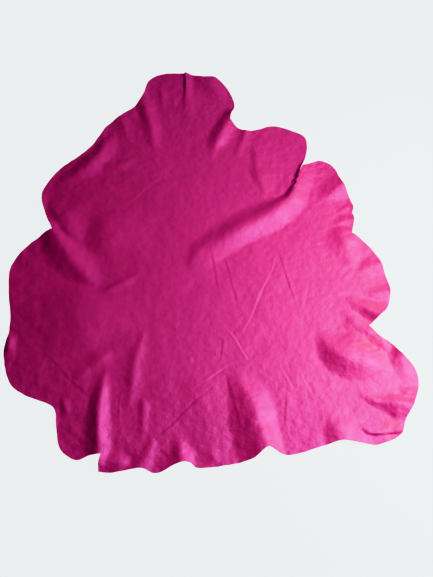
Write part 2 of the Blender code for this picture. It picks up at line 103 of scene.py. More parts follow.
def nearRoute(route, places, reach):
    near = np.all(places > route[:, :2].min(axis=0) - reach, axis=1)
    return near & np.all(places < route[:, :2].max(axis=0) + reach, axis=1)


def treeOf(places):
    tree = KDTree(len(places))
    for i, place in enumerate(places):
        tree.insert((*place, 0), i)
    tree.balance()
    return tree


def distancesTo(taken, places):
    tree = treeOf(taken)
    return np.array([tree.find((*place, 0))[2] for place in places])


def apartFrom(taken, places, gap):
    return places[distancesTo(taken, places) > gap]


def insideLine(line, places):
    found = np.zeros(len(places), bool)
    x, y = places.T
    for (x0, y0), (x1, y1) in zip(line, np.roll(line, -1, axis=0)):
        if y0 != y1:
            crosses = (y0 > y) != (y1 > y)
            found ^= crosses & (x < x0 + (y - y0) / (y1 - y0) * (x1 - x0))
    return found


def noiseAt(places, size, seed):
    return np.array([noise.noise(Vector((x / size, y / size, seed))) for x, y in places])


# The cut edge, clockwise from the top of the neck: place, x, y and how the line turns there.
cutEdge = [
    ("crown left", -0.114, 0.547, "round"),
    ("slit left", -0.0706, 0.547, "corner"),
    ("slit end", -0.068, 0.448, "corner"),
    ("slit right", -0.0698, 0.546, "corner"),
    ("crown right", -0.020, 0.532, "round"),
    ("cheek top", 0.018, 0.526, "round"),
    ("cheek", 0.050, 0.486, "round"),
    ("cheek low", 0.065, 0.438, "round"),
    ("neck bay top", 0.056, 0.404, "round"),
    ("neck bay", 0.053, 0.384, "corner"),
    ("neck bay foot", 0.069, 0.364, "round"),
    ("collar", 0.090, 0.352, "round"),
    ("collar low", 0.117, 0.353, "round"),
    ("shoulder", 0.162, 0.367, "round"),
    ("shoulder out", 0.208, 0.354, "round"),
    ("foreleg corner", 0.242, 0.335, "round"),
    ("foreleg out", 0.249, 0.305, "round"),
    ("foreleg in", 0.242, 0.264, "round"),
    ("split mouth left", 0.2325, 0.237, "round"),
    ("split left", 0.223, 0.216, "round"),
    ("split low left", 0.2105, 0.191, "round"),
    ("split end", 0.195, 0.163, "corner"),
    ("split low right", 0.212, 0.190, "round"),
    ("split right", 0.2245, 0.215, "round"),
    ("split mouth right", 0.235, 0.236, "corner"),
    ("elbow corner", 0.250, 0.243, "round"),
    ("elbow", 0.278, 0.255, "round"),
    ("elbow out", 0.310, 0.238, "round"),
    ("belly top", 0.326, 0.196, "round"),
    ("belly", 0.345, 0.142, "round"),
    ("belly nick top", 0.352, 0.115, "round"),
    ("belly nick", 0.348, 0.100, "corner"),
    ("belly nick foot", 0.351, 0.080, "round"),
    ("flank bay", 0.342, 0.040, "corner"),
    ("flank top", 0.364, 0.022, "round"),
    ("flank", 0.396, -0.021, "round"),
    ("flank side", 0.412, -0.076, "round"),
    ("flank out", 0.418, -0.114, "round"),
    ("flank low", 0.409, -0.156, "round"),
    ("flank turn", 0.388, -0.182, "round"),
    ("thigh bay", 0.360, -0.205, "corner"),
    ("thigh top", 0.386, -0.237, "round"),
    ("thigh step", 0.407, -0.249, "round"),
    ("thigh", 0.427, -0.277, "round"),
    ("thigh side", 0.453, -0.307, "round"),
    ("hock", 0.457, -0.346, "round"),
    ("hock low", 0.440, -0.392, "round"),
    ("shank turn", 0.420, -0.424, "round"),
    ("shank corner", 0.409, -0.454, "corner"),
    ("shank end", 0.392, -0.467, "round"),
    ("haunch low", 0.354, -0.480, "round"),
    ("haunch bay", 0.310, -0.474, "round"),
    ("haunch fold", 0.281, -0.472, "round"),
    ("rump right", 0.243, -0.482, "round"),
    ("rump right low", 0.183, -0.500, "round"),
    ("tail right", 0.156, -0.500, "round"),
    ("tail fold", 0.126, -0.488, "round"),
    ("tail left", 0.096, -0.510, "round"),
    ("tail", 0.050, -0.522, "round"),
    ("tail low", -0.017, -0.530, "round"),
    ("rump fold", -0.038, -0.518, "round"),
    ("rump", -0.066, -0.522, "round"),
    ("rump left", -0.107, -0.540, "round"),
    ("rump wave", -0.140, -0.530, "round"),
    ("flap low", -0.196, -0.539, "round"),
    ("flap corner", -0.226, -0.538, "corner"),
    ("flap side", -0.226, -0.520, "round"),
    ("flap top", -0.223, -0.502, "corner"),
    ("left shank", -0.248, -0.504, "round"),
    ("left shank low", -0.275, -0.513, "round"),
    ("left shank turn", -0.309, -0.490, "round"),
    ("left shank out", -0.321, -0.448, "round"),
    ("left hock bay", -0.328, -0.406, "round"),
    ("left hock", -0.345, -0.390, "round"),
    ("left thigh low", -0.399, -0.369, "round"),
    ("left thigh", -0.434, -0.340, "round"),
    ("left thigh out", -0.454, -0.275, "round"),
    ("left thigh top", -0.449, -0.223, "round"),
    ("left flank dip", -0.451, -0.178, "round"),
    ("left flank", -0.462, -0.118, "round"),
    ("left flank top", -0.465, -0.053, "round"),
    ("left belly", -0.438, -0.002, "round"),
    ("left belly top", -0.404, 0.031, "round"),
    ("left armpit", -0.376, 0.048, "corner"),
    ("left elbow", -0.398, 0.095, "round"),
    ("left foreleg", -0.413, 0.148, "round"),
    ("left foreleg turn", -0.403, 0.186, "round"),
    ("left foreleg top", -0.374, 0.232, "round"),
    ("withers dip", -0.313, 0.288, "round"),
    ("withers", -0.283, 0.337, "round"),
    ("withers step", -0.266, 0.368, "round"),
    ("withers top", -0.225, 0.408, "round"),
    ("neck foot", -0.194, 0.437, "round"),
    ("neck side", -0.177, 0.473, "round"),
    ("neck turn", -0.166, 0.517, "round"),
    ("crown turn", -0.146, 0.538, "round"),
]

knife = {
    "waver": 0.0006,  # how far it strayed from the smooth line
    "waverSize": 1 / 70,  # along the edge from one waver to the next
    "straight": ((-0.07, 0.50), (0.22, 0.20)),  # the slit and the split, cut without a waver
    "straightReach": 0.06,
}


def edgeLine():
    # points about edgeGap apart along the cut edge, with a slight waver
    places = np.array([(x, y) for _, x, y, _ in cutEdge])
    turns = [turn for _, _, _, turn in cutEdge]
    count = len(places)
    line = []
    for i in range(count):
        start, end = places[i], places[(i + 1) % count]
        before, after = places[i - 1], places[(i + 2) % count]
        if turns[i] == "corner":
            before = 2 * start - end
        if turns[(i + 1) % count] == "corner":
            after = 2 * end - start
        steps = max(1, round(np.linalg.norm(end - start) / skin["edgeGap"]))
        line += [between(before, start, end, after, k / steps) for k in range(steps)]
    line = np.array(line)
    along = np.roll(line, -1, axis=0) - np.roll(line, 1, axis=0)
    outward = np.stack([along[:, 1], -along[:, 0]], axis=1) / np.hypot(*along.T)[:, None]
    waver = noiseAt(line, knife["waverSize"], seed=4.0)
    for place in knife["straight"]:
        waver[np.hypot(*(line - place).T) < knife["straightReach"]] = 0
    print("cut edge:", len(line), "points")
    return line - outward * waver[:, None] * knife["waver"]


# Each fold is a ridge along its rows: x, y, height, and how far its left and right sides
# reach, seen along the way that it runs. "round" is the share of a side that the crest's
# rounding takes, a foot of 1 ends that side in a crease and of 2 lets it run out slowly,
# and "lean" pushes the ridge over to its right.
folds = {
    "split ruck": {
        "round": 0.4, "leftFoot": 1.4, "rightFoot": 1.7, "lean": 0.15,
        "rows": [
            (0.240, 0.254, 0.006, 0.030, 0.003),
            (0.234, 0.238, 0.008, 0.034, 0.003),
            (0.227, 0.220, 0.010, 0.038, 0.004),
            (0.220, 0.198, 0.012, 0.040, 0.006),
            (0.212, 0.170, 0.014, 0.040, 0.010),
            (0.198, 0.136, 0.0155, 0.042, 0.026),
            (0.172, 0.106, 0.0165, 0.042, 0.046),
            (0.122, 0.072, 0.016, 0.043, 0.056),
            (0.074, 0.046, 0.0145, 0.042, 0.056),
            (0.038, 0.024, 0.011, 0.044, 0.050),
            (0.006, 0.008, 0.0075, 0.050, 0.042),
            (-0.018, -0.008, 0.005, 0.056, 0.036),
            (-0.034, -0.034, 0.003, 0.052, 0.030),
            (-0.044, -0.062, 0.000, 0.024, 0.012),
        ],
    },
    "armpit ruck": {
        "round": 0.3, "leftFoot": 1.5, "rightFoot": 1.5, "lean": 0.0,
        "rows": [
            (-0.388, 0.056, 0.010, 0.036, 0.036),
            (-0.374, 0.038, 0.0115, 0.034, 0.042),
            (-0.356, 0.012, 0.013, 0.038, 0.048),
            (-0.334, -0.022, 0.0125, 0.046, 0.048),
            (-0.310, -0.052, 0.010, 0.048, 0.042),
            (-0.286, -0.078, 0.007, 0.042, 0.030),
            (-0.268, -0.094, 0.0035, 0.030, 0.020),
            (-0.256, -0.108, 0.000, 0.014, 0.012),
        ],
    },
    "shank ruck": {
        "round": 0.15, "leftFoot": 1.5, "rightFoot": 1.6, "lean": 0.0,
        "rows": [
            (-0.225, -0.520, 0.010, 0.030, 0.026),
            (-0.228, -0.491, 0.0115, 0.032, 0.030),
            (-0.231, -0.452, 0.012, 0.032, 0.030),
            (-0.234, -0.408, 0.0105, 0.028, 0.028),
            (-0.232, -0.366, 0.007, 0.022, 0.024),
            (-0.229, -0.334, 0.003, 0.016, 0.018),
            (-0.227, -0.306, 0.000, 0.010, 0.012),
        ],
    },
    "tail ruck": {
        "round": 0.22, "leftFoot": 1.2, "rightFoot": 1.3, "lean": 0.0,
        "rows": [
            (0.127, -0.520, 0.0175, 0.066, 0.034),
            (0.123, -0.494, 0.0175, 0.066, 0.036),
            (0.117, -0.468, 0.0175, 0.066, 0.039),
            (0.107, -0.436, 0.0165, 0.064, 0.042),
            (0.098, -0.404, 0.014, 0.060, 0.046),
            (0.086, -0.380, 0.0105, 0.050, 0.050),
            (0.072, -0.354, 0.0055, 0.036, 0.046),
            (0.064, -0.330, 0.0025, 0.022, 0.034),
            (0.058, -0.304, 0.000, 0.014, 0.018),
        ],
    },
    "neck ruck": {
        "round": 0.25, "leftFoot": 1.6, "rightFoot": 1.6, "lean": 0.0,
        "rows": [
            (0.062, 0.402, 0.010, 0.028, 0.030),
            (0.040, 0.360, 0.012, 0.030, 0.034),
            (0.026, 0.328, 0.011, 0.030, 0.034),
            (0.016, 0.306, 0.006, 0.024, 0.028),
            (0.008, 0.284, 0.002, 0.018, 0.020),
            (0.000, 0.262, 0.000, 0.012, 0.014),
        ],
    },
    "nape ruck": {
        "round": 0.3, "leftFoot": 1.8, "rightFoot": 1.6, "lean": 0.0,
        "rows": [
            (-0.188, 0.486, 0.004, 0.034, 0.024),
            (-0.176, 0.446, 0.006, 0.036, 0.024),
            (-0.166, 0.410, 0.007, 0.034, 0.024),
            (-0.154, 0.368, 0.0065, 0.030, 0.024),
            (-0.146, 0.326, 0.0045, 0.026, 0.022),
            (-0.140, 0.292, 0.000, 0.016, 0.014),
        ],
    },
    "withers roll": {
        "round": 0.3, "leftFoot": 1.2, "rightFoot": 1.6, "lean": 0.0,
        "rows": [
            (-0.368, 0.180, 0.0015, 0.020, 0.022),
            (-0.346, 0.202, 0.004, 0.024, 0.028),
            (-0.324, 0.222, 0.008, 0.026, 0.034),
            (-0.300, 0.244, 0.0105, 0.030, 0.040),
            (-0.280, 0.272, 0.010, 0.028, 0.040),
            (-0.264, 0.306, 0.007, 0.024, 0.036),
            (-0.250, 0.344, 0.000, 0.012, 0.018),
        ],
    },
    "haunch step": {
        "round": 0.3, "leftFoot": 1.4, "rightFoot": 1.2, "lean": 0.0,
        "rows": [
            (0.246, -0.226, 0.000, 0.030, 0.012),
            (0.260, -0.246, 0.006, 0.050, 0.026),
            (0.276, -0.266, 0.012, 0.080, 0.038),
            (0.298, -0.282, 0.0165, 0.092, 0.046),
            (0.322, -0.291, 0.0175, 0.086, 0.048),
            (0.346, -0.297, 0.015, 0.070, 0.044),
            (0.368, -0.303, 0.010, 0.056, 0.036),
            (0.386, -0.309, 0.005, 0.040, 0.026),
            (0.402, -0.314, 0.000, 0.020, 0.014),
        ],
    },
    "haunch ruck": {
        "round": 0.3, "leftFoot": 1.4, "rightFoot": 1.6, "lean": 0.0,
        "rows": [
            (0.288, -0.490, 0.009, 0.036, 0.066),
            (0.280, -0.467, 0.009, 0.036, 0.066),
            (0.273, -0.443, 0.0075, 0.034, 0.060),
            (0.266, -0.424, 0.003, 0.024, 0.036),
            (0.260, -0.402, 0.000, 0.014, 0.018),
        ],
    },
    "hock ruck": {
        "round": 0.2, "leftFoot": 1.2, "rightFoot": 2.0, "lean": 0.0,
        "rows": [
            (0.442, -0.396, 0.014, 0.042, 0.034),
            (0.420, -0.394, 0.014, 0.040, 0.034),
            (0.400, -0.390, 0.013, 0.036, 0.032),
            (0.380, -0.388, 0.008, 0.022, 0.028),
            (0.358, -0.384, 0.005, 0.014, 0.022),
            (0.338, -0.372, 0.002, 0.012, 0.016),
            (0.318, -0.358, 0.000, 0.010, 0.012),
        ],
    },
    "thigh ruck": {
        "round": 0.2, "leftFoot": 1.6, "rightFoot": 1.3, "lean": 0.0,
        "rows": [
            (0.412, -0.198, 0.014, 0.022, 0.040),
            (0.386, -0.182, 0.014, 0.022, 0.040),
            (0.360, -0.166, 0.010, 0.022, 0.032),
            (0.338, -0.150, 0.005, 0.022, 0.020),
            (0.320, -0.132, 0.000, 0.012, 0.010),
        ],
    },
    "thigh ridge": {
        "round": 0.25, "leftFoot": 1.5, "rightFoot": 1.2, "lean": 0.0,
        "rows": [
            (0.388, -0.242, 0.009, 0.036, 0.022),
            (0.362, -0.224, 0.0085, 0.036, 0.022),
            (0.344, -0.208, 0.007, 0.034, 0.020),
            (0.326, -0.188, 0.005, 0.026, 0.018),
            (0.312, -0.162, 0.000, 0.014, 0.010),
        ],
    },
    "rump ruck": {
        "round": 0.25, "leftFoot": 1.6, "rightFoot": 1.8, "lean": 0.0,
        "rows": [
            (-0.054, -0.536, 0.0085, 0.038, 0.030),
            (-0.055, -0.514, 0.0085, 0.038, 0.030),
            (-0.057, -0.498, 0.0075, 0.034, 0.028),
            (-0.061, -0.482, 0.004, 0.024, 0.022),
            (-0.068, -0.460, 0.000, 0.012, 0.014),
        ],
    },
    "flap wave": {
        "round": 0.3, "leftFoot": 1.8, "rightFoot": 1.8, "lean": 0.0,
        "rows": [
            (-0.148, -0.546, 0.004, 0.034, 0.024),
            (-0.140, -0.526, 0.0045, 0.034, 0.024),
            (-0.126, -0.504, 0.0045, 0.030, 0.022),
            (-0.120, -0.484, 0.003, 0.022, 0.018),
            (-0.116, -0.464, 0.000, 0.012, 0.010),
        ],
    },
    "flap hump": {
        "round": 0.3, "leftFoot": 2.0, "rightFoot": 1.4, "lean": 0.0,
        "rows": [
            (-0.230, -0.514, 0.005, 0.026, 0.022),
            (-0.204, -0.517, 0.006, 0.028, 0.022),
            (-0.182, -0.519, 0.005, 0.026, 0.022),
            (-0.158, -0.520, 0.000, 0.016, 0.014),
        ],
    },
    "loin ruck": {
        "round": 0.2, "leftFoot": 1.8, "rightFoot": 2.0, "lean": 0.0,
        "rows": [
            (-0.168, -0.402, 0.000, 0.012, 0.014),
            (-0.168, -0.372, 0.0025, 0.022, 0.026),
            (-0.166, -0.336, 0.0038, 0.028, 0.030),
            (-0.164, -0.302, 0.0038, 0.028, 0.030),
            (-0.155, -0.258, 0.003, 0.020, 0.024),
            (-0.143, -0.216, 0.000, 0.012, 0.014),
        ],
    },
    "flank ruck": {
        "round": 0.2, "leftFoot": 1.8, "rightFoot": 2.0, "lean": 0.0,
        "rows": [
            (-0.258, -0.130, 0.001, 0.016, 0.024),
            (-0.233, -0.116, 0.003, 0.018, 0.028),
            (-0.206, -0.098, 0.003, 0.018, 0.028),
            (-0.184, -0.084, 0.002, 0.016, 0.024),
            (-0.160, -0.066, 0.000, 0.012, 0.016),
        ],
    },
    "flank ridge": {
        "round": 0.3, "leftFoot": 1.6, "rightFoot": 1.5, "lean": 0.0,
        "rows": [
            (0.322, 0.062, 0.000, 0.020, 0.018),
            (0.322, 0.038, 0.008, 0.044, 0.044),
            (0.324, 0.008, 0.009, 0.050, 0.046),
            (0.330, -0.022, 0.0055, 0.044, 0.034),
            (0.338, -0.050, 0.0015, 0.026, 0.022),
            (0.346, -0.076, 0.000, 0.012, 0.012),
        ],
    },
    "foreleg ridge": {
        "round": 0.35, "leftFoot": 1.6, "rightFoot": 1.6, "lean": 0.0,
        "rows": [
            (-0.394, 0.134, 0.000, 0.030, 0.020),
            (-0.374, 0.104, 0.004, 0.060, 0.028),
            (-0.356, 0.076, 0.007, 0.070, 0.034),
            (-0.340, 0.050, 0.0065, 0.060, 0.032),
            (-0.328, 0.026, 0.003, 0.040, 0.026),
            (-0.320, 0.004, 0.000, 0.020, 0.016),
        ],
    },
    "foreleg swell": {
        "round": 0.25, "leftFoot": 1.5, "rightFoot": 1.6, "lean": 0.0,
        "rows": [
            (-0.266, 0.102, 0.000, 0.040, 0.026),
            (-0.256, 0.072, 0.004, 0.120, 0.046),
            (-0.252, 0.036, 0.005, 0.130, 0.052),
            (-0.252, 0.004, 0.004, 0.120, 0.044),
            (-0.258, -0.022, 0.000, 0.040, 0.024),
        ],
    },
    "foreleg step": {
        "round": 0.2, "leftFoot": 1.2, "rightFoot": 1.8, "lean": 0.0,
        "rows": [
            (0.114, 0.324, 0.000, 0.030, 0.012),
            (0.116, 0.282, 0.003, 0.054, 0.018),
            (0.118, 0.242, 0.0035, 0.060, 0.018),
            (0.124, 0.196, 0.0035, 0.060, 0.018),
            (0.140, 0.156, 0.000, 0.030, 0.012),
        ],
    },
    "collar ruck": {
        "round": 0.2, "leftFoot": 2.0, "rightFoot": 2.0, "lean": 0.0,
        "rows": [
            (0.097, 0.366, 0.005, 0.022, 0.018),
            (0.092, 0.350, 0.005, 0.022, 0.020),
            (0.086, 0.321, 0.004, 0.022, 0.020),
            (0.075, 0.291, 0.002, 0.020, 0.018),
            (0.059, 0.261, 0.000, 0.014, 0.014),
        ],
    },
    "tail swell": {
        "round": 0.4, "leftFoot": 1.8, "rightFoot": 2.0, "lean": 0.0,
        "rows": [
            (-0.034, -0.300, 0.000, 0.040, 0.040),
            (-0.020, -0.354, 0.0025, 0.056, 0.060),
            (-0.006, -0.412, 0.0025, 0.056, 0.060),
            (0.006, -0.470, 0.002, 0.056, 0.060),
            (0.014, -0.530, 0.001, 0.050, 0.050),
        ],
    },
    "loin step": {
        "round": 0.12, "leftFoot": 1.6, "rightFoot": 1.2, "lean": 0.0,
        "rows": [
            (-0.300, -0.092, 0.000, 0.060, 0.050),
            (-0.298, -0.138, 0.006, 0.130, 0.110),
            (-0.292, -0.192, 0.0085, 0.150, 0.130),
            (-0.286, -0.234, 0.0065, 0.130, 0.110),
            (-0.274, -0.274, 0.000, 0.050, 0.050),
        ],
    },
    "loin fold": {
        "round": 0.25, "leftFoot": 1.8, "rightFoot": 1.8, "lean": 0.0,
        "rows": [
            (-0.216, -0.264, 0.000, 0.016, 0.016),
            (-0.234, -0.284, 0.003, 0.026, 0.030),
            (-0.254, -0.300, 0.003, 0.026, 0.032),
            (-0.272, -0.318, 0.0025, 0.022, 0.028),
            (-0.290, -0.334, 0.000, 0.014, 0.014),
        ],
    },
    "elbow ruffle": {
        "round": 0.3, "leftFoot": 1.7, "rightFoot": 1.6, "lean": 0.0,
        "rows": [
            (0.350, 0.190, 0.0105, 0.036, 0.044),
            (0.326, 0.172, 0.0105, 0.036, 0.044),
            (0.306, 0.160, 0.009, 0.032, 0.040),
            (0.286, 0.146, 0.0045, 0.024, 0.028),
            (0.266, 0.128, 0.000, 0.012, 0.014),
        ],
    },
    "hem pleat": {
        "round": 0.3, "leftFoot": 2.0, "rightFoot": 1.2, "lean": 0.6,
        "rows": [
            (0.320, -0.436, 0.000, 0.018, 0.005),
            (0.330, -0.447, 0.0035, 0.028, 0.007),
            (0.344, -0.453, 0.0045, 0.030, 0.007),
            (0.370, -0.453, 0.0045, 0.030, 0.007),
            (0.412, -0.448, 0.004, 0.030, 0.007),
        ],
    },
    "cheek bump": {
        "round": 0.3, "leftFoot": 1.2, "rightFoot": 1.8, "lean": 0.0,
        "rows": [
            (-0.008, 0.550, 0.008, 0.034, 0.060),
            (0.008, 0.518, 0.0085, 0.034, 0.060),
            (0.018, 0.486, 0.006, 0.030, 0.050),
            (0.024, 0.454, 0.002, 0.024, 0.030),
            (0.026, 0.424, 0.000, 0.014, 0.016),
        ],
    },
    "nape wave": {
        "round": 0.3, "leftFoot": 1.8, "rightFoot": 1.8, "lean": 0.0,
        "rows": [
            (-0.246, 0.408, 0.003, 0.028, 0.018),
            (-0.228, 0.374, 0.003, 0.028, 0.018),
            (-0.216, 0.342, 0.0015, 0.024, 0.016),
            (-0.206, 0.310, 0.000, 0.014, 0.012),
        ],
    },
    "slit lip": {
        "round": 0.15, "leftFoot": 1.1, "rightFoot": 1.0, "lean": 0.0,
        "rows": [
            (-0.067, 0.560, 0.007, 0.024, 0.003),
            (-0.067, 0.540, 0.007, 0.024, 0.003),
            (-0.066, 0.500, 0.006, 0.024, 0.003),
            (-0.065, 0.460, 0.0045, 0.024, 0.005),
            (-0.063, 0.424, 0.002, 0.022, 0.010),
            (-0.062, 0.380, 0.000, 0.014, 0.010),
        ],
    },
    "left curl": {
        "round": 0.3, "leftFoot": 1.6, "rightFoot": 2.0, "lean": 0.0,
        "rows": [
            (-0.450, -0.218, 0.000, 0.012, 0.010),
            (-0.448, -0.238, 0.006, 0.022, 0.010),
            (-0.447, -0.256, 0.0065, 0.022, 0.010),
            (-0.447, -0.272, 0.003, 0.022, 0.010),
            (-0.443, -0.290, 0.000, 0.012, 0.010),
        ],
    },
    "foreleg curl": {
        "round": 0.3, "leftFoot": 2.0, "rightFoot": 1.6, "lean": 0.0,
        "rows": [
            (-0.400, 0.096, 0.000, 0.010, 0.012),
            (-0.410, 0.120, 0.004, 0.010, 0.020),
            (-0.414, 0.146, 0.003, 0.010, 0.018),
            (-0.408, 0.172, 0.000, 0.010, 0.012),
        ],
    },
    "neck crease": {
        "round": 0.2, "leftFoot": 1.6, "rightFoot": 1.6, "lean": 0.0,
        "rows": [
            (-0.134, 0.512, 0.000, 0.012, 0.008),
            (-0.130, 0.482, 0.002, 0.016, 0.010),
            (-0.126, 0.452, 0.002, 0.016, 0.010),
            (-0.124, 0.422, 0.000, 0.012, 0.008),
        ],
    },
    "loin crease": {
        "round": 0.2, "leftFoot": 1.8, "rightFoot": 1.6, "lean": 0.0,
        "rows": [
            (-0.144, -0.374, 0.000, 0.012, 0.008),
            (-0.139, -0.392, 0.0032, 0.020, 0.014),
            (-0.138, -0.414, 0.003, 0.020, 0.014),
            (-0.136, -0.436, 0.002, 0.014, 0.016),
            (-0.138, -0.458, 0.001, 0.010, 0.012),
            (-0.138, -0.478, 0.000, 0.010, 0.008),
        ],
    },
    "hock nub": {
        "round": 0.3, "leftFoot": 2.0, "rightFoot": 1.8, "lean": 0.0,
        "rows": [
            (-0.316, -0.372, 0.000, 0.010, 0.010),
            (-0.310, -0.388, 0.003, 0.017, 0.014),
            (-0.306, -0.406, 0.003, 0.017, 0.014),
            (-0.304, -0.422, 0.000, 0.010, 0.010),
        ],
    },
    "belly ruffle": {
        "round": 0.25, "leftFoot": 1.8, "rightFoot": 1.8, "lean": 0.0,
        "rows": [
            (0.358, 0.114, 0.0028, 0.014, 0.014),
            (0.338, 0.112, 0.0028, 0.014, 0.014),
            (0.322, 0.106, 0.0018, 0.012, 0.012),
            (0.308, 0.102, 0.000, 0.008, 0.008),
        ],
    },
    "nick ruffle": {
        "round": 0.25, "leftFoot": 1.8, "rightFoot": 1.8, "lean": 0.0,
        "rows": [
            (0.360, 0.082, 0.0038, 0.022, 0.016),
            (0.338, 0.078, 0.0038, 0.022, 0.022),
            (0.318, 0.072, 0.0032, 0.020, 0.022),
            (0.296, 0.066, 0.000, 0.012, 0.012),
        ],
    },
    "flank ruffle": {
        "round": 0.25, "leftFoot": 1.6, "rightFoot": 1.7, "lean": 0.0,
        "rows": [
            (0.424, -0.042, 0.0065, 0.026, 0.030),
            (0.392, -0.050, 0.0065, 0.026, 0.030),
            (0.366, -0.058, 0.004, 0.022, 0.026),
            (0.342, -0.070, 0.000, 0.012, 0.014),
        ],
    },
    "side ruffle": {
        "round": 0.25, "leftFoot": 1.6, "rightFoot": 1.6, "lean": 0.0,
        "rows": [
            (0.434, -0.116, 0.0085, 0.026, 0.026),
            (0.408, -0.120, 0.008, 0.026, 0.026),
            (0.384, -0.124, 0.004, 0.022, 0.020),
            (0.360, -0.128, 0.000, 0.012, 0.010),
        ],
    },
    "thigh bump": {
        "round": 0.25, "leftFoot": 1.4, "rightFoot": 1.4, "lean": 0.0,
        "rows": [
            (0.433, -0.236, 0.006, 0.030, 0.024),
            (0.428, -0.262, 0.0105, 0.034, 0.032),
            (0.427, -0.288, 0.0105, 0.034, 0.032),
            (0.429, -0.310, 0.005, 0.026, 0.024),
            (0.433, -0.334, 0.000, 0.014, 0.012),
        ],
    },
    "hock ruffle": {
        "round": 0.3, "leftFoot": 1.6, "rightFoot": 1.8, "lean": 0.0,
        "rows": [
            (0.460, -0.368, 0.006, 0.022, 0.018),
            (0.436, -0.364, 0.005, 0.022, 0.018),
            (0.414, -0.362, 0.000, 0.012, 0.012),
        ],
    },
    "withers fold": {
        "round": 0.3, "leftFoot": 1.8, "rightFoot": 1.8, "lean": 0.0,
        "rows": [
            (-0.278, 0.260, 0.000, 0.016, 0.014),
            (-0.258, 0.242, 0.003, 0.028, 0.022),
            (-0.236, 0.236, 0.0035, 0.028, 0.022),
            (-0.210, 0.246, 0.003, 0.026, 0.020),
            (-0.192, 0.266, 0.000, 0.014, 0.012),
        ],
    },
}


def foldLift(fold, places):
    # how far one fold lifts each place, and how far it pushes it over
    route = smoothRoute(fold["rows"])
    near = nearRoute(route, places, route[:, 3:].max())
    lift, push = np.zeros(len(places)), np.zeros((len(places), 2))
    distance, left, columns, direction = nearestOnRoute(route, places[near])
    width = np.where(left, columns[:, 3], columns[:, 4])
    share = np.minimum(distance / width, 1)
    crest = fold["round"]
    share = (np.hypot(share, crest) - crest) / (math.hypot(1, crest) - crest)
    foot = np.where(left, fold["leftFoot"], fold["rightFoot"])
    lift[near] = np.maximum(columns[:, 2], 0) * (1 - share) ** foot
    rightward = np.stack([direction[:, 1], -direction[:, 0]], axis=1)
    push[near] = rightward * (lift[near] * fold["lean"])[:, None]
    return lift, push


def liftAll(places):
    # where folds meet, the cube root of the cubes' sum keeps close to the higher one
    cubes, push = np.zeros(len(places)), np.zeros((len(places), 2))
    for fold in folds.values():
        lift, lean = foldLift(fold, places)
        cubes += lift**3
        push += lean
    print("folds:", len(folds), "raised")
    return np.cbrt(cubes), push


